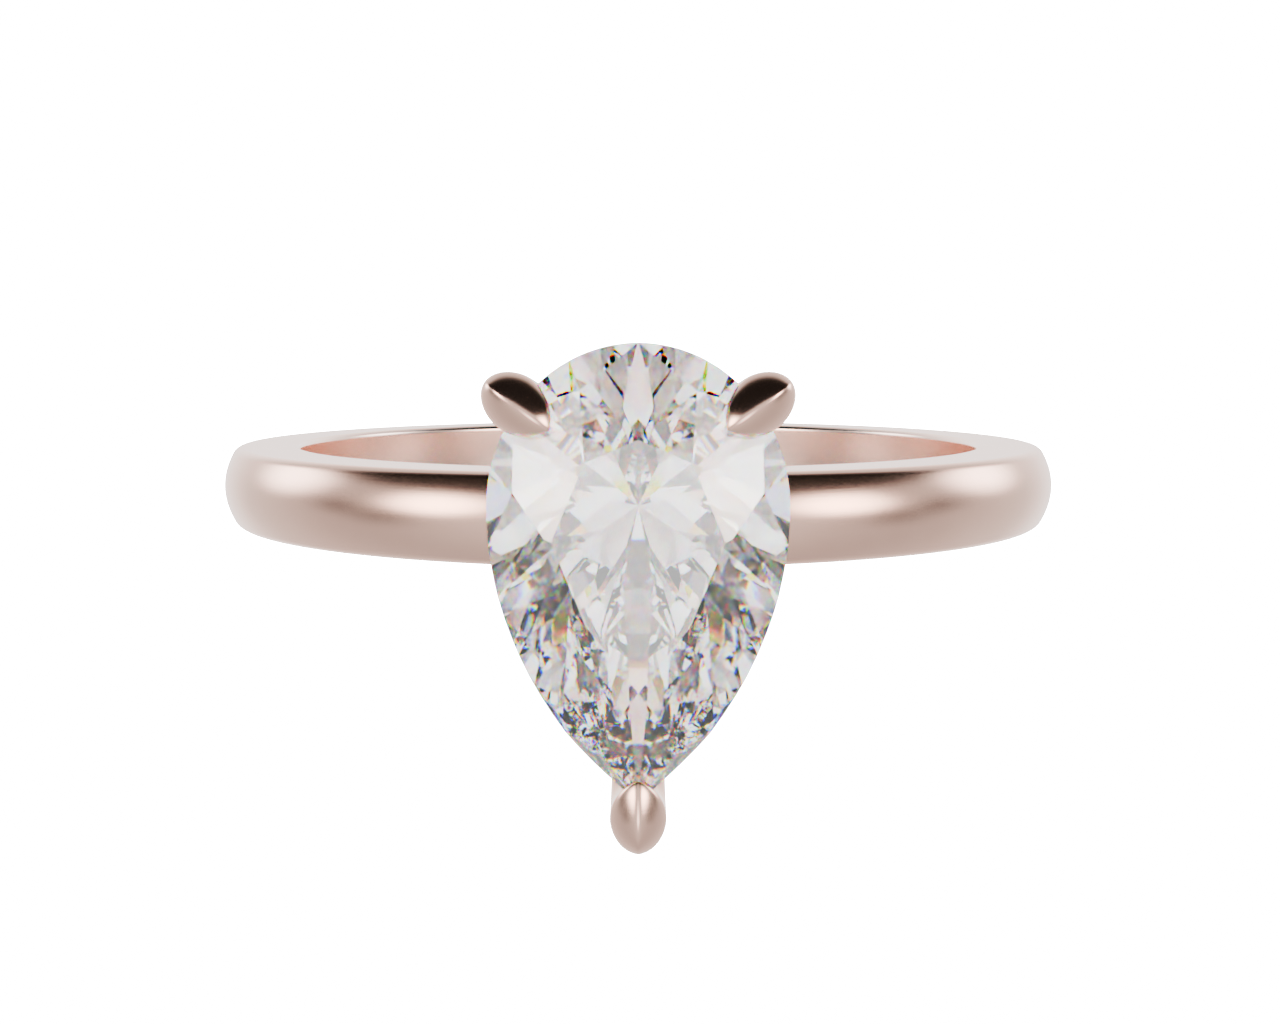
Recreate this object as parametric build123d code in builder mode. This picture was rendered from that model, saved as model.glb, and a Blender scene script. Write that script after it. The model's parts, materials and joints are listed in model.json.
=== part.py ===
from build123d import *
import math
import os

# Pear-cut solitaire engagement ring: a low-dome band carrying a fabricated head of two rails,
# three claws and a locating peg, with a pear brilliant held in the claws.
#
# Frame: the origin is the centre of the finger hole. +Z runs up through the head to the stone's
# table, Y is the finger axis with the stone's round end at +Y and its point at -Y, and X runs
# across the hand. Millimetres throughout.

# ---- Band
finger_radius = 8.25          # inside radius of a US size 6 band
band_width = 1.84             # along the finger
band_side_height = 1.48       # flat side wall, bore to where the crown springs
crown_rise = 0.30             # height of the low dome above the side walls
crown_edge_radius = 0.12      # softened outer corners
bore_edge_radius = 0.12       # softened inner corners

# ---- Stone, a pear brilliant of about one carat
stone_width = 5.24
stone_length = 8.00
round_end_depth = 2.84        # belly line to the round end
belly_offset = 0.60           # belly line, from the middle of the band towards the round end
girdle_thickness = 0.16
crown_height = 0.86           # girdle to table
pavilion_depth = 2.30         # girdle to culet
culet_clearance = 0.62        # band crown to culet
star_share = 0.50             # how far a star facet runs from the table towards the girdle
lower_half_share = 0.74       # how far a lower half runs from the girdle towards the culet

# Facet stations round one side of the pear, from the round end to the point. Each is the
# direction that the girdle faces there, in degrees from +X, and the width of the crown.
head_station = (90.0, 1.60)
shoulder_station = (33.5, 1.47)
belly_station = (-6.0, 1.10)
flank_station = (-22.0, 1.36)
point_station = (-90.0, 2.12)

# ---- Head
rail_width = 0.50             # across the wire of either rail
rail_height = 0.60
rail_edge = 0.10              # softened edges of both rails
gallery_inset = 0.85          # girdle outline in to the middle of the gallery rail
gallery_drop = 1.38           # girdle down to the middle of the gallery rail
base_inset = 1.60             # girdle outline in to the middle of the base rail
saddle_depth = 0.12           # how far the base rail is let down over the band's crown
claw_radius = 0.50            # round claw wire where it meets its tip
claw_foot_radius = 0.42       # the same wire at its foot
foot_notch = 0.34             # depth of the notch filed in a claw's foot for the base rail
claw_direction = 36.0         # shoulder claws, in degrees from +X
claw_focus = 0.28             # where their centre lines meet, past the belly line
claw_tip_width = 1.00         # teardrop tip, across
claw_tip_length = 1.38        # teardrop tip, along
claw_tip_back = 0.62          # its widest place to its outer end
claw_tip_rise = 0.56          # ridge of the tip above the girdle
claw_shoulder_rise = 0.14     # sides of the tip above the girdle
claw_tip_lip = 0.02           # how far the tip stands out past its wire
shoulder_overlap = 0.68       # how far a shoulder claw's tip runs in over the crown
point_overlap = 0.46          # the same at the stone's point
peg_radius = 0.45
bar_width = 0.90              # cross-bar of the locating peg, along the finger
bar_height = 0.30             # top of the cross-bar above the band's crown

# ---- Derived sizes
band_outer_radius = finger_radius + band_side_height + crown_rise
girdle_base = band_outer_radius + culet_clearance + pavilion_depth
girdle_top = girdle_base + girdle_thickness
table_level = girdle_top + crown_height
culet_level = girdle_base - pavilion_depth
half_width = stone_width / 2
point_length = stone_length - round_end_depth
flank_radius = (half_width**2 + point_length**2) / (2 * half_width)
flank_centre = half_width - flank_radius
gallery_level = girdle_base - gallery_drop
base_rail_floor = band_outer_radius - saddle_depth
base_level = base_rail_floor + rail_height / 2
foot_setback = rail_width / 2 + claw_foot_radius - foot_notch


def point_reach(inset):
    """Distance from the belly line to the point of the pear outline, moved in by inset."""
    return math.sqrt((flank_radius - inset) ** 2 - flank_centre**2)


def shoulder_reach(inset):
    """Distance from the claws' focus to the same outline along a shoulder claw's direction."""
    turn = math.radians(claw_direction)
    width, depth = half_width - inset, round_end_depth - inset
    squared = (math.cos(turn) / width) ** 2 + (math.sin(turn) / depth) ** 2
    halved = claw_focus * math.sin(turn) / depth**2
    return (math.sqrt(halved**2 + squared * (1 - (claw_focus / depth) ** 2)) - halved) / squared


def draw_pear(inset):
    """Half an ellipse over the round end and two flank arcs that meet at the point."""
    sweep_angle = math.degrees(math.asin(point_reach(inset) / (flank_radius - inset)))
    round_end = (half_width - inset, round_end_depth - inset)
    EllipticalCenterArc((0, belly_offset), *round_end, start_angle=0, arc_size=180)
    CenterArc((flank_centre, belly_offset), flank_radius - inset, 0, -sweep_angle)
    CenterArc((-flank_centre, belly_offset), flank_radius - inset, 180, sweep_angle)


def girdle_point(facing):
    """The place on the girdle outline that faces a direction, in degrees from +X."""
    turn = math.radians(facing)
    across, along = math.cos(turn), math.sin(turn)
    if along >= 0:
        scale = math.hypot(half_width * across, round_end_depth * along)
        return Vector(half_width**2 * across / scale, belly_offset + round_end_depth**2 * along / scale)
    if flank_centre + flank_radius * across <= 0:
        return Vector(0, belly_offset - point_length)
    return Vector(flank_centre + flank_radius * across, belly_offset + flank_radius * along)


def raised(point, level):
    return Vector(point.X, point.Y, level)


def facet_plane(first, second, third):
    """A plane through three points of the stone that faces away from the stone's middle."""
    facing = (second - first).cross(third - first).normalized()
    middle = Vector(0, 0, girdle_base)
    if facing.dot(first - middle) < 0:
        facing = facing * -1
    return Plane(origin=first, z_dir=facing)


def meeting_line(first, second):
    """A point on the line where two planes meet, and the line's direction."""
    along = first.z_dir.cross(second.z_dir)
    reach_first = first.z_dir.dot(first.origin)
    reach_second = second.z_dir.dot(second.origin)
    start = (second.z_dir.cross(along) * reach_first + along.cross(first.z_dir) * reach_second)
    return start * (1 / along.dot(along)), along


def at_level(planes, level):
    """The place where two facet planes and a level meet."""
    start, along = meeting_line(*planes)
    return start + along * ((level - start.Z) / along.Z)


def mirrored(plane):
    """The same facet on the other side of the stone."""
    start, facing = plane.origin, plane.z_dir
    return Plane(origin=(-start.X, start.Y, start.Z), z_dir=(-facing.X, facing.Y, facing.Z))


# ---- Facet planes: one side of the stone, then its mirror image
stations = [head_station, shoulder_station, belly_station, flank_station, point_station]
flank_end = -math.degrees(math.asin(point_length / flank_radius))
culet = Vector(0, belly_offset, culet_level)

rim_spots = []
table_corners = []
kite_planes = []
main_planes = []
for facing, crown_width in stations:
    spot = girdle_point(facing)
    turn = math.radians(facing)
    outward = Vector(math.cos(turn), math.sin(turn))
    along = Vector(-outward.Y, outward.X)
    table_corner = raised(spot - outward * crown_width, table_level)
    rim = raised(spot, girdle_top)
    foot = raised(spot, girdle_base)
    kite_planes.append(facet_plane(rim, rim + along, table_corner))
    main_planes.append(facet_plane(foot, foot + along, culet))
    rim_spots.append(spot)
    table_corners.append(table_corner)

star_planes = []
half_planes = []
for index in range(len(stations) - 1):
    following = index + 1
    facings = [max(stations[place][0], flank_end) for place in (index, following)]
    between = girdle_point(sum(facings) / 2)
    kite_pair = (kite_planes[index], kite_planes[following])
    main_pair = (main_planes[index], main_planes[following])
    star_tip = at_level(kite_pair, table_level - star_share * crown_height)
    half_tip = at_level(main_pair, girdle_base - lower_half_share * pavilion_depth)
    star_planes.append(facet_plane(table_corners[index], table_corners[following], star_tip))
    for spot in (rim_spots[index], rim_spots[following]):
        upper = (raised(spot, girdle_top), raised(between, girdle_top), star_tip)
        lower = (raised(spot, girdle_base), raised(between, girdle_base), half_tip)
        half_planes.append(facet_plane(*upper))
        half_planes.append(facet_plane(*lower))

centre_planes = [planes[end] for planes in (kite_planes, main_planes) for end in (0, -1)]
side_planes = kite_planes[1:-1] + main_planes[1:-1] + star_planes + half_planes
facet_planes = centre_planes + side_planes + [mirrored(plane) for plane in side_planes]

# ---- Diamond: the pear outline as a thick blank, with one cut for each facet
with BuildPart() as diamond:
    with BuildSketch(Plane.XY.offset(culet_level)):
        with BuildLine():
            draw_pear(0)
        make_face()
    extrude(amount=table_level - culet_level)
    for facet in facet_planes:
        split(bisect_by=facet, keep=Keep.BOTTOM)

# ---- Band blank: the whole turned section, before the peg hole is drilled
with BuildPart() as band_blank:
    with BuildSketch(Plane.XY) as band_section:
        with BuildLine():
            shoulder_radius = finger_radius + band_side_height
            inner = Line((finger_radius, -band_width / 2), (finger_radius, band_width / 2))
            Line(inner @ 1, (shoulder_radius, band_width / 2))
            crown_ends = ((shoulder_radius, band_width / 2), (shoulder_radius, -band_width / 2))
            ThreePointArc(crown_ends[0], (band_outer_radius, 0), crown_ends[1])
            Line(crown_ends[1], inner @ 0)
        make_face()
        corners = band_section.vertices().group_by(Axis.X)
        fillet(corners[0], radius=bore_edge_radius)
        fillet(corners[-1], radius=crown_edge_radius)
    revolve(axis=Axis.Y)

# ---- Shank
with BuildPart() as shank:
    add(band_blank.part)
    with BuildSketch(Plane.XY):
        Circle(peg_radius)
    extrude(amount=band_outer_radius, mode=Mode.SUBTRACT)


def rail_ring(floor, inset):
    """A pear-shaped loop of flat wire with softened edges."""
    with BuildPart() as ring:
        with BuildSketch(Plane.XY.offset(floor)):
            with BuildLine():
                draw_pear(inset - rail_width / 2)
            make_face()
            with BuildLine():
                draw_pear(inset + rail_width / 2)
            make_face(mode=Mode.SUBTRACT)
        extrude(amount=rail_height)
        flat_faces = ring.faces().filter_by(Axis.Z)
        chamfer(flat_faces.edges(), length=rail_edge)
    return ring.part


# ---- Gallery rail, just under the girdle
with BuildPart() as gallery_rail:
    add(rail_ring(gallery_level - rail_height / 2, gallery_inset))

# ---- Base rail, let down over the band
with BuildPart() as base_rail:
    add(rail_ring(base_rail_floor, base_inset))
    add(band_blank.part, mode=Mode.SUBTRACT)

# ---- Locating peg: a cross-bar inside the base rail, and a pin through the band
with BuildPart() as head_peg:
    with BuildSketch(Plane.XY.offset(base_rail_floor - crown_rise)):
        Rectangle(stone_width - 2 * base_inset, bar_width)
    extrude(amount=saddle_depth + crown_rise + bar_height)
    add(band_blank.part, mode=Mode.SUBTRACT)
    add(base_rail.part, mode=Mode.SUBTRACT)
    with BuildSketch(Plane.XY):
        Circle(peg_radius)
    extrude(amount=band_outer_radius)
    with BuildSketch(Plane.XZ):
        Circle(finger_radius)
    extrude(amount=band_width, both=True, mode=Mode.SUBTRACT)


def claw(direction, focus, reach, overlap):
    """A straight leaning wire beside both rails, with a ridged teardrop tip over the girdle.

    direction is in degrees from +X about the focus, a distance past the belly line, and
    reach(inset) is the distance from there to the pear outline moved in by inset.
    """
    turn = math.radians(direction)
    outward = Vector(math.cos(turn), math.sin(turn), 0)
    sideways = Vector(-outward.Y, outward.X, 0)
    up = Vector(0, 0, 1)
    centre = Vector(0, belly_offset + focus, 0)
    overhang = claw_tip_length - overlap
    wire_height = girdle_base - base_level
    foot_out = reach(base_inset) + foot_setback
    # the wire leans so that its outer side ends just inside the tip's outer end
    edge_out = reach(0) + overhang - claw_tip_lip
    lean = (edge_out - claw_radius - foot_out) / wire_height
    for _ in range(8):
        lean = (edge_out - claw_radius * math.hypot(1, lean) - foot_out) / wire_height
    wire = (outward * lean + up).normalized()
    foot = centre + outward * (foot_out - lean * rail_height) + up * (base_level - rail_height)
    head = centre + outward * (foot_out + lean * wire_height) + up * girdle_base
    widest = centre + outward * (reach(0) + overhang - claw_tip_back) + up * girdle_top
    front_length = claw_tip_length - claw_tip_back
    half_tip = claw_tip_width / 2
    ridge_height = claw_tip_rise - claw_shoulder_rise
    with BuildPart() as piece:
        with BuildSketch(Plane(origin=foot, z_dir=wire)):
            Circle(claw_foot_radius)
        with BuildSketch(Plane(origin=head, z_dir=wire)):
            Circle(claw_radius)
        loft()
        with BuildPart(mode=Mode.PRIVATE) as tip:
            # seen from above: half an ellipse behind, two arcs drawn to a point over the stone
            with BuildSketch(Plane(origin=widest - up * rail_height, x_dir=outward, z_dir=up)):
                with BuildLine():
                    EllipticalCenterArc((0, 0), claw_tip_back, half_tip, -90, arc_size=180)
                    apex = (-front_length, 0)
                    TangentArc((0, half_tip), apex, tangent=(-1, 0))
                    TangentArc((0, -half_tip), apex, tangent=(-1, 0))
                make_face()
            extrude(amount=rail_height + claw_tip_rise)
            # seen end on: straight sides under a ridged roof
            with BuildSketch(Plane(origin=widest, x_dir=sideways, z_dir=outward)):
                with BuildLine():
                    eave = (half_tip, claw_shoulder_rise)
                    half_eave = (half_tip * 0.6, claw_shoulder_rise + ridge_height * 0.6)
                    left_eave = (-eave[0], eave[1])
                    ThreePointArc(eave, half_eave, (0, claw_tip_rise))
                    ThreePointArc((0, claw_tip_rise), (-half_eave[0], half_eave[1]), left_eave)
                    Polyline(left_eave, (-eave[0], -rail_height), (eave[0], -rail_height), eave)
                make_face()
            extrude(amount=claw_tip_length, both=True, mode=Mode.INTERSECT)
            # seen from the side: the ridge bows down to the point and round to the back
            with BuildSketch(Plane(origin=widest, x_dir=outward, z_dir=outward.cross(up))):
                with BuildLine():
                    front = (-front_length, claw_shoulder_rise + ridge_height * 0.75)
                    rear = (claw_tip_back, -claw_shoulder_rise)
                    ThreePointArc(front, (0, claw_tip_rise), rear)
                    rear_foot = (0, -rail_height)
                    Polyline(rear, rear_foot, (-front_length, -rail_height), front)
                make_face()
            extrude(amount=claw_tip_width, both=True, mode=Mode.INTERSECT)
        add(tip.part)
        for neighbour in (diamond, gallery_rail, base_rail, band_blank):
            add(neighbour.part, mode=Mode.SUBTRACT)
        # nothing of a claw is left inside the base rail, or below it
        with BuildSketch(Plane.XY.offset(base_rail_floor)):
            with BuildLine():
                draw_pear(base_inset)
            make_face()
        extrude(amount=rail_height, mode=Mode.SUBTRACT)
        with BuildSketch(Plane.XY.offset(base_rail_floor)):
            Circle(stone_length)
        extrude(amount=-stone_length, mode=Mode.SUBTRACT)
    return piece


left_direction = 180 - claw_direction
right_claw = claw(claw_direction, claw_focus, shoulder_reach, shoulder_overlap)
left_claw = claw(left_direction, claw_focus, shoulder_reach, shoulder_overlap)
point_claw = claw(-90, 0, point_reach, point_overlap)

# ---- Write one file for each piece
pieces = {
    "shank": shank,
    "base_rail": base_rail,
    "gallery_rail": gallery_rail,
    "head_peg": head_peg,
    "left_claw": left_claw,
    "right_claw": right_claw,
    "point_claw": point_claw,
    "diamond": diamond,
}
os.makedirs("parts", exist_ok=True)
for name, piece in pieces.items():
    piece.part.label = name
    export_step(piece.part, f"parts/{name}.step")
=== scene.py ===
"""Looks of a pear-cut solitaire ring in rose gold, built around its CAD frame.

Row frame: origin at the centre of the finger hole, +Z up through the head to the stone's table,
Y along the finger with the stone's round end at +Y and its point at -Y, X across the hand. Metres.
"""

import json
import math

import bmesh
import bpy
from mathutils import Matrix, Vector


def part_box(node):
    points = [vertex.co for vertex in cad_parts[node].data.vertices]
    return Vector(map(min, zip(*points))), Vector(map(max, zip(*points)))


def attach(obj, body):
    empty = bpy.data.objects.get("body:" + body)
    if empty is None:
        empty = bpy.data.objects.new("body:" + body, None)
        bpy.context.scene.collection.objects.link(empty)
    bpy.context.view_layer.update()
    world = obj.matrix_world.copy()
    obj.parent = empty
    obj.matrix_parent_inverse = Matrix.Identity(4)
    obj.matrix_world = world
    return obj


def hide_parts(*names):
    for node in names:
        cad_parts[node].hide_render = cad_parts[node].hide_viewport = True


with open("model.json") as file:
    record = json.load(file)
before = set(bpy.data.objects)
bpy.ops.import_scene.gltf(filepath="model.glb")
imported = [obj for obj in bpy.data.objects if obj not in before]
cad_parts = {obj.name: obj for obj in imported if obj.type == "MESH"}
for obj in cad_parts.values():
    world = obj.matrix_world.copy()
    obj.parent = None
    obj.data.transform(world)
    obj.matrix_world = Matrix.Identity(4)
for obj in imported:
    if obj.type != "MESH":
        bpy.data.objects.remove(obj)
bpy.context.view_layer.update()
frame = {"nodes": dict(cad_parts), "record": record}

MM = 0.001

# ---- Sizes read from the frame
shank_low, shank_high = (Vector(corner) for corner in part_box("shank"))
stone_low, stone_high = (Vector(corner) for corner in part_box("diamond"))
base_low, base_high = (Vector(corner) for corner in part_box("base_rail"))
finger_bore = next(m for m in frame["record"]["mounts"] if m["name"] == "finger_bore")
finger_radius = finger_bore["dims"]["r_mm"] * MM
band_outer = shank_high.z
band_half = shank_high.y
floor_level = shank_low.z
band_wall = band_outer - finger_radius

# ---- Design sizes that the boxes don't hold
crown_rise = 0.30 * MM            # low dome of the band above its side walls
round_end_depth = 2.84 * MM       # belly line to the stone's round end
crown_height = 0.86 * MM          # girdle to table
girdle_thickness = 0.16 * MM
rail_width = 0.50 * MM
claw_direction = 36.0             # shoulder claws, degrees from +X
claw_focus = 0.28 * MM            # where their centre lines meet, past the belly line
claw_radius = 0.50 * MM           # claw wire just under the girdle
claw_foot_radius = 0.42 * MM
foot_notch = 0.34 * MM            # depth of the notch in a claw's foot for the base rail
tip_half_width = 0.50 * MM        # teardrop tip of a claw
tip_length = 1.38 * MM
tip_back = 0.62 * MM              # its widest place to its outer end
tip_lip = 0.02 * MM               # how far it stands out past its wire
shoulder_overlap = 0.68 * MM      # how far a shoulder claw's tip runs in over the crown
point_overlap = 0.46 * MM         # the same at the stone's point

# ---- Finishes
GOLD_DARKER = (0.86, 0.562, 0.458, 1)
GOLD_LIGHTER = (0.91, 0.612, 0.502, 1)
# painted light: a paler gold that stands in for the light inside the bore
GOLD_PAINTED_LIGHT = (0.95, 0.82, 0.76, 1)
CLOUD_SCALE = 420.0               # slow change of the alloy's colour, waves per metre
GRAIN_SCALE = 9000.0              # grain of the polish
LINE_SCALE = (900.0, 26000.0, 900.0)  # polishing lines, long round the finger
LINE_DEPTH = 0.02 * MM
BAND_POLISH = 0.16                # roughness before clouds and grain are added
HEAD_POLISH = 0.14
BORE_PAINTED_LIGHT = 0.5                   # share of the painted paler gold in the bore: painted light that makes the bore lighter than the outside
DIAMOND_INDEX = 2.42
DIAMOND_FIRE = (2.407, 2.42, 2.445)   # its index for red, green and blue
HAZE_SCALE = 2600.0
HAZE = 0.004                      # most roughness on a facet

# ---- Pear outline of the stone, from its box
half_width = stone_high.x
belly = stone_high.y - round_end_depth
point_length = belly - stone_low.y
flank_radius = (half_width**2 + point_length**2) / (2 * half_width)
flank_centre = half_width - flank_radius
table_level = stone_high.z
girdle_top = table_level - crown_height
girdle_base = girdle_top - girdle_thickness


def point_reach(inset):
    """Belly line to the point of the pear outline moved in by inset."""
    return math.sqrt((flank_radius - inset) ** 2 - flank_centre**2)


def shoulder_reach(inset):
    """The claws' focus to the same outline along a shoulder claw's direction."""
    turn = math.radians(claw_direction)
    width, depth = half_width - inset, round_end_depth - inset
    squared = (math.cos(turn) / width) ** 2 + (math.sin(turn) / depth) ** 2
    halved = claw_focus * math.sin(turn) / depth**2
    return (math.sqrt(halved**2 + squared * (1 - (claw_focus / depth) ** 2)) - halved) / squared


# ---- Node trees written as expressions


class Wire:
    """One output socket of a node tree. Arithmetic on wires adds Math nodes."""

    def __init__(self, tree, socket):
        self.tree = tree
        self.socket = socket

    def add(self, kind, settings=None, inputs=None, output=0):
        """Adds a node: its type, its settings, then the values or wires of its sockets."""
        return add_node(self.tree, kind, settings, inputs, output)

    def math(self, operation, *values):
        inputs = dict(enumerate(values))
        return self.add("ShaderNodeMath", {"operation": operation}, inputs)

    def __add__(self, other):
        return self.math("ADD", self, other)

    def __radd__(self, other):
        return self.math("ADD", other, self)

    def __sub__(self, other):
        return self.math("SUBTRACT", self, other)

    def __rsub__(self, other):
        return self.math("SUBTRACT", other, self)

    def __mul__(self, other):
        return self.math("MULTIPLY", self, other)

    def __rmul__(self, other):
        return self.math("MULTIPLY", other, self)

    def __truediv__(self, other):
        return self.math("DIVIDE", self, other)

    def __abs__(self):
        return self.math("ABSOLUTE", self)


def add_node(tree, kind, settings=None, inputs=None, output=0):
    """The one way that a node joins a tree: settings first, then its sockets."""
    node = tree.nodes.new(kind)
    for name, value in (settings or {}).items():
        if name == "stops":
            ramp = node.color_ramp.elements
            while len(ramp) < len(value):
                ramp.new(1.0)
            for stop, (position, colour) in zip(ramp, value):
                stop.position = position
                stop.color = colour
        else:
            setattr(node, name, value)
    for name, value in (inputs or {}).items():
        if isinstance(value, Wire):
            tree.links.new(value.socket, node.inputs[name])
        else:
            node.inputs[name].default_value = value
    return Wire(tree, node.outputs[output]) if node.outputs else node


def split_vector(tree, vector, axis):
    return add_node(tree, "ShaderNodeSeparateXYZ", {}, {"Vector": vector}, axis)


# ---- Materials


def new_material(name):
    material = bpy.data.materials.new(name)
    material.use_nodes = True
    material.node_tree.nodes.clear()
    return material, material.node_tree


def rose_gold(name, polish, bore_painted_light=0.0):
    """Polished 14k rose gold: a soft lap finish with faint polishing lines, and painted light that
    makes the bore paler.
    """
    material, tree = new_material(name)
    place = add_node(tree, "ShaderNodeTexCoord", output="Object")
    clouds = add_node(
        tree,
        "ShaderNodeTexNoise",
        {},
        {"Vector": place, "Scale": CLOUD_SCALE, "Detail": 3.0},
        "Fac",
    )
    grain = add_node(
        tree,
        "ShaderNodeTexNoise",
        {},
        {"Vector": place, "Scale": GRAIN_SCALE, "Detail": 2.0},
        "Fac",
    )
    stretch = add_node(tree, "ShaderNodeMapping", {}, {"Vector": place, "Scale": LINE_SCALE})
    lines = add_node(
        tree, "ShaderNodeTexNoise", {}, {"Vector": stretch, "Scale": 1.0, "Detail": 4.0}, "Fac"
    )
    tint = add_node(
        tree,
        "ShaderNodeValToRGB",
        {"stops": [(0.3, GOLD_DARKER), (0.7, GOLD_LIGHTER)]},
        {"Fac": clouds},
    )
    across, height = (split_vector(tree, place, axis) for axis in "XZ")
    squared = across * across + height * height
    from_axis = squared.math("SQRT", squared)
    # painted light: the bore is painted paler, eased in from its edges
    bore_light_mask = add_node(
        tree,
        "ShaderNodeMapRange",
        {"interpolation_type": "SMOOTHSTEP"},
        {
            "Value": from_axis,
            "From Min": finger_radius + 0.12 * MM,
            "From Max": finger_radius + 0.02 * MM,
            "To Max": bore_painted_light,
        },
    )
    # a colour mix has its factor at socket 0, its colours at 6 and 7, and its result at 2
    tint = add_node(
        tree,
        "ShaderNodeMix",
        {"data_type": "RGBA"},
        {0: bore_light_mask, 6: tint, 7: GOLD_PAINTED_LIGHT},
        2,
    )
    roughness = polish + 0.05 * clouds + 0.03 * grain
    relief = add_node(
        tree,
        "ShaderNodeBump",
        {},
        {"Height": 0.6 * lines + 0.4 * grain, "Strength": 0.04, "Distance": LINE_DEPTH},
    )
    surface = add_node(
        tree,
        "ShaderNodeBsdfPrincipled",
        {},
        {"Base Color": tint, "Metallic": 1.0, "Roughness": roughness, "Normal": relief},
    )
    add_node(tree, "ShaderNodeOutputMaterial", {}, {"Surface": surface})
    return material


def brilliant(name):
    """Diamond: three slightly different refractions for red, green and blue, and its mirror."""
    material, tree = new_material(name)
    place = add_node(tree, "ShaderNodeTexCoord", output="Object")
    haze = add_node(
        tree,
        "ShaderNodeTexNoise",
        {},
        {"Vector": place, "Scale": HAZE_SCALE, "Detail": 5.0},
        "Fac",
    )
    polish = HAZE * haze
    colours = zip([(1, 0, 0, 1), (0, 1, 0, 1), (0, 0, 1, 1)], DIAMOND_FIRE)
    bent = [
        add_node(
            tree,
            "ShaderNodeBsdfRefraction",
            {},
            {"Color": colour, "Roughness": polish, "IOR": index},
        )
        for colour, index in colours
    ]
    pair = add_node(tree, "ShaderNodeAddShader", {}, {0: bent[0], 1: bent[1]})
    through = add_node(tree, "ShaderNodeAddShader", {}, {0: pair, 1: bent[2]})
    mirror = add_node(
        tree, "ShaderNodeBsdfAnisotropic", {}, {"Color": (1, 1, 1, 1), "Roughness": polish}
    )
    share = add_node(tree, "ShaderNodeFresnel", {}, {"IOR": DIAMOND_INDEX})
    surface = add_node(tree, "ShaderNodeMixShader", {}, {0: share, 1: through, 2: mirror})
    add_node(tree, "ShaderNodeOutputMaterial", {}, {"Surface": surface})
    return material


# ---- Mesh helpers


def piece_from(name, mesh, material, *nodes):
    """A finished piece at the origin that stands for CAD nodes and rides with the ring."""
    piece = bpy.data.objects.new(name, mesh)
    bpy.context.scene.collection.objects.link(piece)
    mesh.materials.clear()
    mesh.materials.append(material)
    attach(piece, "root")
    if nodes:
        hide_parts(*nodes)
    return piece


def baked(carrier):
    """The evaluated mesh of an object, as plain mesh data."""
    evaluated = carrier.evaluated_get(bpy.context.evaluated_depsgraph_get())
    mesh = bpy.data.meshes.new_from_object(evaluated)
    bpy.data.objects.remove(carrier)
    return mesh


# ---- Shank: a section drawn by rule and swept round the finger


def new_geometry_tree(name, inputs):
    """A Geometry Nodes tree with named float inputs, and wires to read them."""
    tree = bpy.data.node_groups.new(name, "GeometryNodeTree")
    tree.interface.new_socket("Geometry", in_out="OUTPUT", socket_type="NodeSocketGeometry")
    kinds = {float: "NodeSocketFloat", int: "NodeSocketInt", object: "NodeSocketMaterial"}
    for label, value in inputs.items():
        kind = kinds.get(type(value), kinds[object])
        tree.interface.new_socket(label, in_out="INPUT", socket_type=kind)
    entry = tree.nodes.new("NodeGroupInput")
    wires = {label: Wire(tree, entry.outputs[label]) for label in inputs}
    return tree, wires


def run_geometry_tree(tree, wires, inputs, result):
    """Ends the tree, gives it its inputs by identifier, and returns the finished mesh."""
    realized = add_node(tree, "GeometryNodeRealizeInstances", {}, {"Geometry": result})
    coated = {"Geometry": realized, "Material": wires["Finish"]}
    coated = add_node(tree, "GeometryNodeSetMaterial", {}, coated)
    way_out = tree.nodes.new("NodeGroupOutput")
    tree.links.new(coated.socket, way_out.inputs["Geometry"])
    carrier = bpy.data.objects.new(tree.name, bpy.data.meshes.new(tree.name))
    bpy.context.scene.collection.objects.link(carrier)
    modifier = carrier.modifiers.new(tree.name, "NODES")
    modifier.node_group = tree
    for socket in tree.interface.items_tree:
        if socket.in_out == "INPUT":
            modifier[socket.identifier] = inputs[socket.name]
    return baked(carrier)


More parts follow.
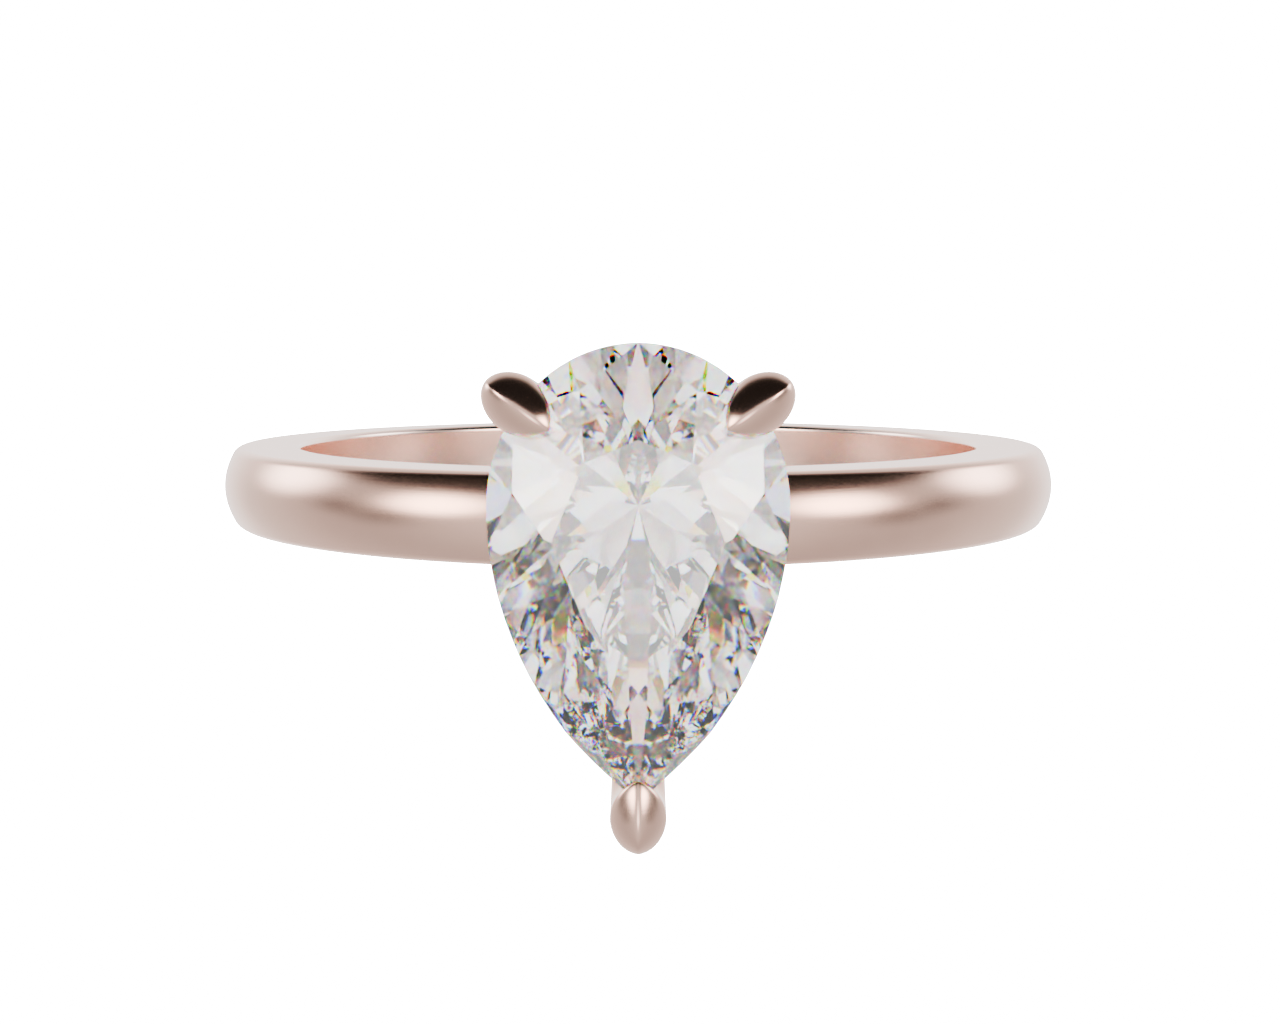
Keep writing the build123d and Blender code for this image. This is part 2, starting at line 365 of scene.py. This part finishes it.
def make_shank(material):
    inputs = {
        "Bore Radius": finger_radius,
        "Side Height": band_wall - crown_rise,
        "Width": 2 * band_half,
        "Crown Rise": crown_rise,
        "Edge Radius": 0.13 * MM,
        "Section Points": 180,
        "Points Round": 360,
        "Finish": material,
    }
    tree, wires = new_geometry_tree("shank_sweep", inputs)
    box = add_node(
        tree,
        "GeometryNodeCurvePrimitiveQuadrilateral",
        {"mode": "RECTANGLE"},
        {"Width": wires["Side Height"], "Height": wires["Width"]},
    )
    box = add_node(
        tree,
        "GeometryNodeFilletCurve",
        {"mode": "POLY"},
        {"Curve": box, "Count": 12, "Radius": wires["Edge Radius"]},
    )
    box = add_node(
        tree, "GeometryNodeResampleCurve", {}, {"Curve": box, "Count": wires["Section Points"]}
    )
    # the outer side rises into a low dome, in proportion to how far out a point lies
    place = add_node(tree, "GeometryNodeInputPosition")
    radial, axial = (split_vector(tree, place, axis) for axis in "XY")
    outside = radial / wires["Side Height"] + 0.5
    from_middle = axial / wires["Width"] * 2
    dome = wires["Crown Rise"] * outside * (1 - from_middle * from_middle)
    lift = add_node(tree, "ShaderNodeCombineXYZ", {}, {"X": dome})
    section = add_node(tree, "GeometryNodeSetPosition", {}, {"Geometry": box, "Offset": lift})
    hoop = add_node(
        tree,
        "GeometryNodeCurvePrimitiveCircle",
        {"mode": "RADIUS"},
        {
            "Resolution": wires["Points Round"],
            "Radius": wires["Bore Radius"] + wires["Side Height"] / 2,
        },
        "Curve",
    )
    upright = (math.pi / 2, 0.0, 0.0)
    hoop = add_node(tree, "GeometryNodeTransform", {}, {"Geometry": hoop, "Rotation": upright})
    band = add_node(
        tree, "GeometryNodeCurveToMesh", {}, {"Curve": hoop, "Profile Curve": section}
    )
    band = add_node(tree, "GeometryNodeSetShadeSmooth", {}, {"Geometry": band})
    return run_geometry_tree(tree, wires, inputs, band)


# ---- Claws: a leaning wire that ends in a ridged teardrop over the girdle


def claw_mesh(name, direction, focus, reach, overlap):
    """Rings of one closed skin, from the ridged tip down to the foot."""
    ridge_height = 0.46 * MM          # ridge above the eaves of the tip
    eave_outside = 0.06 * MM          # eaves above the girdle, outside the stone
    crown_slope = 0.66                # rise of the eaves inwards over the crown
    eave_bend = 0.16 * MM
    ridge_round = 0.07                # rounding of the ridge, as a share of the half width
    ridge_fall = 1.9                  # how late the ridge falls towards the stone
    back_fullness = 1.75              # squareness of the outline's outer end
    side_bulge, side_fullness = 1.2, 0.66   # curve from the ridge down to the eaves
    merge_drop = 0.60 * MM            # below the girdle, the tip has become round wire
    round_count, dome_count, merge_count, wire_count = 112, 26, 12, 14
    overhang = tip_length - overlap
    widest = overhang - tip_back
    front_length = tip_length - tip_back
    arch_radius = (tip_half_width**2 + front_length**2) / (2 * tip_half_width)
    base_inset = half_width + rail_width / 2 - base_high.x
    base_level = (base_low.z + base_high.z) / 2
    foot_out = reach(base_inset) - reach(0) + rail_width / 2 + claw_foot_radius - foot_notch
    wire_height = girdle_base - base_level
    lean = 0.0
    for _ in range(8):
        wire_top = overhang - tip_lip - claw_radius * math.hypot(1, lean)
        lean = (wire_top - foot_out) / wire_height
    turn = math.radians(direction)
    outward = Vector((math.cos(turn), math.sin(turn), 0))
    sideways = Vector((-outward.y, outward.x, 0))
    rim = Vector((0, belly + focus, girdle_top)) + outward * reach(0)

    def half_width_at(out):
        """Half the width of the teardrop, seen from above."""
        run = out - widest
        if run >= 0:
            return tip_half_width * math.sqrt(max(1 - (run / tip_back) ** back_fullness, 0))
        return max(math.sqrt(max(arch_radius**2 - run**2, 0)) - arch_radius + tip_half_width, 0)

    def eave(out):
        """Height of the tip's edge above the girdle: level outside, then up with the crown."""
        return eave_outside + crown_slope * eave_bend * math.log1p(math.exp(-out / eave_bend))

    def off_ridge(share):
        """Distance from the ridge line, blunted so that the ridge is rounded."""
        return math.hypot(share, ridge_round) - ridge_round

    def dome(out, side):
        """Height above the girdle of the ridged top."""
        run = out - widest
        if run >= 0:
            ridge = math.sqrt(max(1 - (run / tip_back) ** 2, 0))
        else:
            ridge = max(1 - (-run / front_length) ** ridge_fall, 0)
        share = min(abs(side) / max(half_width_at(out), 1e-9), 1)
        share = off_ridge(share) / off_ridge(1)
        return eave(out) + ridge_height * ridge * (1 - share**side_bulge) ** side_fullness

    def teardrop(angle):
        """Outline point of the tip in a direction about its widest place."""
        low, high = 0.0, tip_length
        for _ in range(40):
            middle = (low + high) / 2
            out = widest + middle * math.cos(angle)
            if abs(middle * math.sin(angle)) < half_width_at(out):
                low = middle
            else:
                high = middle
        return widest + low * math.cos(angle), low * math.sin(angle)

    def placed(out, side, rise):
        return rim + outward * out + sideways * side + Vector((0, 0, rise))

    def wire_point(angle, drop):
        """Outline point of the leaning wire at a depth under the girdle."""
        share = drop / foot_drop
        radius = claw_radius + (claw_foot_radius - claw_radius) * share
        centre = wire_top - lean * (drop - girdle_thickness)
        stretch = math.hypot(1, lean)
        return centre + radius * stretch * math.cos(angle), radius * math.sin(angle)

    foot_drop = girdle_top - base_low.z
    angles = [2 * math.pi * step / round_count for step in range(round_count)]
    outline = [teardrop(angle) for angle in angles]
    rings = []
    for step in range(1, dome_count + 1):
        share = math.sin(step / dome_count * math.pi / 2)
        ring = []
        for out, side in outline:
            here = widest + share * (out - widest)
            ring.append(placed(here, share * side, dome(here, share * side)))
        rings.append(ring)
    for step in range(1, merge_count + 1):
        share = step / merge_count
        ease = share * share * (3 - 2 * share)
        ring = []
        for angle, (out, side) in zip(angles, outline):
            wire_out, wire_side = wire_point(angle, merge_drop * share)
            blend_out = out + (wire_out - out) * ease
            blend_side = side + (wire_side - side) * ease
            rise = eave(out) * (1 - share) - merge_drop * share
            ring.append(placed(blend_out, blend_side, rise))
        rings.append(ring)
    for step in range(1, wire_count + 1):
        drop = merge_drop + (foot_drop - merge_drop) * step / wire_count
        rings.append([placed(*wire_point(angle, drop), -drop) for angle in angles])

    mesh = bpy.data.meshes.new(name)
    work = bmesh.new()
    peak = work.verts.new(placed(widest, 0, dome(widest, 0)))
    foot = work.verts.new(placed(wire_top - lean * foot_drop, 0, -foot_drop))
    rows = [[work.verts.new(spot) for spot in ring] for ring in rings]
    for step in range(round_count):
        following = (step + 1) % round_count
        work.faces.new((peak, rows[0][step], rows[0][following]))
        for upper, lower in zip(rows, rows[1:]):
            work.faces.new((upper[step], lower[step], lower[following], upper[following]))
        work.faces.new((foot, rows[-1][following], rows[-1][step]))
    bmesh.ops.recalc_face_normals(work, faces=work.faces)
    work.to_mesh(mesh)
    work.free()
    return mesh


def stone_cutter():
    """The stone as one closed mesh, to cut the claws' seats."""
    mesh = frame["nodes"]["diamond"].data.copy()
    work = bmesh.new()
    work.from_mesh(mesh)
    bmesh.ops.remove_doubles(work, verts=work.verts, dist=0.0005 * MM)
    bmesh.ops.recalc_face_normals(work, faces=work.faces)
    work.to_mesh(mesh)
    work.free()
    cutter = bpy.data.objects.new("stone_cutter", mesh)
    bpy.context.scene.collection.objects.link(cutter)
    return cutter


def make_claw(name, cutter, material, *shape):
    carrier = bpy.data.objects.new(name, claw_mesh(name, *shape))
    bpy.context.scene.collection.objects.link(carrier)
    seat = carrier.modifiers.new("seat", "BOOLEAN")
    seat.operation = "DIFFERENCE"
    seat.solver = "EXACT"
    seat.object = cutter
    mesh = baked(carrier)
    mesh.shade_smooth()
    mesh.set_sharp_from_angle(angle=math.radians(40))
    return piece_from(name + "_polished", mesh, material, name)


# ---- Build the object
band_gold = rose_gold("rose gold, band", BAND_POLISH, BORE_PAINTED_LIGHT)
head_gold = rose_gold("rose gold, head", HEAD_POLISH)
diamond_finish = brilliant("diamond")

shank = piece_from("shank_polished", make_shank(band_gold), band_gold, "shank")

cutter = stone_cutter()
claws = {
    "right_claw": (claw_direction, claw_focus, shoulder_reach, shoulder_overlap),
    "left_claw": (180 - claw_direction, claw_focus, shoulder_reach, shoulder_overlap),
    "point_claw": (-90, 0.0, point_reach, point_overlap),
}
for name, shape in claws.items():
    claw = make_claw(name, cutter, head_gold, *shape)
bpy.data.objects.remove(cutter)

for name in ("gallery_rail", "base_rail", "head_peg"):
    frame["nodes"][name].material_slots[0].material = head_gold
frame["nodes"]["diamond"].material_slots[0].material = diamond_finish


# ---- Stage, light and camera
AMBIENT = 0.8                     # walls of the room
UPPER = 6.0                       # lamps above the horizon at both sides
LOWER = 4.0                       # lamps below it
ZENITH = 1.9                      # overhead, past the stone's point
BELOW = 0.8                       # straight under the ring
FLAG_DEPTH = 0.96                 # how much the dark flag takes away
GAP_DEPTH = 0.75                  # how much the gap between the lamps takes away
LAMP_CREAM = (0.13, 0.24)         # green and blue that the upper lamps lack
STONE_SHADE = 0.15                # the room is this much darker through the stone
STONE_LIGHT = 9.0                 # small panels that only the stone shows
STONE_BACK = 1.8                  # soft light past its point
STONE_UNDER = 2.6                 # light from under it
STONE_PINK = (0.28, 0.26)         # green and blue that those two lack
BACKDROP = 24.0                   # white behind and under the ring
floor_size = 400 * MM
floor_mesh = bpy.data.meshes.new("floor")
corners = [(-1, -1), (1, -1), (1, 1), (-1, 1)]
floor_mesh.from_pydata(
    [(x * floor_size, y * floor_size, floor_level) for x, y in corners], [], [(0, 1, 2, 3)]
)
floor = bpy.data.objects.new("floor", floor_mesh)
bpy.context.scene.collection.objects.link(floor)
floor_finish, floor_tree = new_material("pale floor")
floor_surface = add_node(
    floor_tree,
    "ShaderNodeBsdfPrincipled",
    {},
    {
        "Base Color": (0.8, 0.8, 0.8, 1),
        "Roughness": 0.9,
        "Specular IOR Level": 0.0,
        "Emission Color": (1, 1, 1, 1),
        "Emission Strength": BACKDROP,
    },
)
add_node(floor_tree, "ShaderNodeOutputMaterial", {}, {"Surface": floor_surface})
floor_mesh.materials.append(floor_finish)
floor.visible_glossy = False
floor.visible_transmission = False
floor.visible_diffuse = False


def aimed(from_zenith, from_head):
    """Unit vector at an angle from +Z, turned from +Y towards either side, in degrees."""
    drop, turn = math.radians(from_zenith), math.radians(from_head)
    return math.sin(drop) * math.sin(turn), math.sin(drop) * math.cos(turn), math.cos(drop)


def light_the_room():
    """A soft studio: two pairs of lamps at the sides and a dark flag past the round end.

    Small panels and a warmer, brighter underside are seen only through the stone.
    """
    world = bpy.data.worlds.new("studio")
    world.use_nodes = True
    bpy.context.scene.world = world
    tree = world.node_tree
    tree.nodes.clear()
    heading = add_node(tree, "ShaderNodeTexCoord", output="Generated")
    parts = tree.nodes.new("ShaderNodeSeparateXYZ")
    tree.links.new(heading.socket, parts.inputs[0])
    across, along, up = (Wire(tree, parts.outputs[axis]) for axis in "XYZ")
    across = abs(across)

    def eased(value, start, end):
        """Eased from 0 at start to 1 at end."""
        return value.add(
            "ShaderNodeMapRange",
            {"interpolation_type": "SMOOTHSTEP"},
            {"Value": value, "From Min": start, "From Max": end},
        )

    def patch(from_zenith, from_head, radius, soft):
        """1 near an aim on either side, half at radius degrees, 0 soft degrees further."""
        x, y, z = aimed(from_zenith, from_head)
        nearness = across * x + along * y + up * z
        nearness = up.math("MINIMUM", 1.0, nearness)
        angle = up.math("ARCCOSINE", nearness) * (180 / math.pi)
        return eased(angle, radius + soft, radius - soft)

    upper_lamps = patch(55, 74, 12, 8)
    lower_lamps = patch(109, 68, 12, 9)
    flag = eased(along, 0.40, 0.58) * eased(up, -0.48, -0.1) * eased(up, 0.88, 0.66)
    gap = (1 - GAP_DEPTH * patch(71, 98, 6, 12)) * (1 - GAP_DEPTH * patch(85, 88, 6, 10))
    zenith = patch(10, 180, 16, 12)
    below = eased(up, -0.55, -0.95)
    # the walls are darkest a little above the horizon
    walls = AMBIENT * (0.8 + 0.45 * eased(abs(up - 0.2), 0.0, 0.9))
    glow = walls + UPPER * upper_lamps + LOWER * lower_lamps + ZENITH * zenith + BELOW * below
    glow = glow * (1 - FLAG_DEPTH * flag) * gap
    camera_ray = add_node(tree, "ShaderNodeLightPath", output="Is Camera Ray")
    through_stone = add_node(tree, "ShaderNodeLightPath", output="Is Transmission Ray")
    panels = patch(30, 35, 5, 6) + patch(27, 150, 6, 6) + patch(48, 120, 6, 7)
    panels = panels + patch(66, 150, 7, 7)
    past_point = patch(50, 180, 14, 12)
    under = eased(up, 0.15, -0.3)
    in_stone = STONE_LIGHT * panels + STONE_BACK * past_point + STONE_UNDER * under
    glow = glow * (1 - STONE_SHADE * through_stone) + in_stone * through_stone
    warm = through_stone * (0.3 + 0.7 * (under + past_point))
    cream = upper_lamps * (1 - through_stone)
    green = 1 - STONE_PINK[0] * warm - LAMP_CREAM[0] * cream
    blue = 1 - STONE_PINK[1] * warm - LAMP_CREAM[1] * cream
    tint = {"X": 1.0, "Y": green, "Z": blue}
    tint = add_node(tree, "ShaderNodeCombineXYZ", {}, tint)
    level = glow * (1 - camera_ray) + BACKDROP * camera_ray
    sky = add_node(tree, "ShaderNodeBackground", {}, {"Color": tint, "Strength": level})
    add_node(tree, "ShaderNodeOutputWorld", {}, {"Surface": sky})


def place_camera():
    """Looks down on the head from a little past its round end."""
    lens = bpy.data.cameras.new("camera")
    lens.sensor_width = 36.0
    lens.lens = 47.52
    lens.clip_start = 1 * MM
    lens.shift_x = 0.0014
    camera = bpy.data.objects.new("camera", lens)
    bpy.context.scene.collection.objects.link(camera)
    tilt = 0.106
    right = Vector((1, 0, 0))
    back = Vector((0, math.sin(tilt), math.cos(tilt)))
    up = back.cross(right)
    place = Vector((0, 3.615, 42.0)) * MM
    turned = Matrix((right, up, back)).transposed().to_4x4()
    camera.matrix_world = Matrix.Translation(place) @ turned
    bpy.context.scene.camera = camera


light_the_room()
place_camera()
scene = bpy.context.scene
scene.view_settings.view_transform = "AgX"
scene.view_settings.look = "AgX - Medium High Contrast"
scene.cycles.max_bounces = 24
scene.cycles.transmission_bounces = 24
scene.cycles.glossy_bounces = 12
scene.cycles.sample_clamp_indirect = 6.0
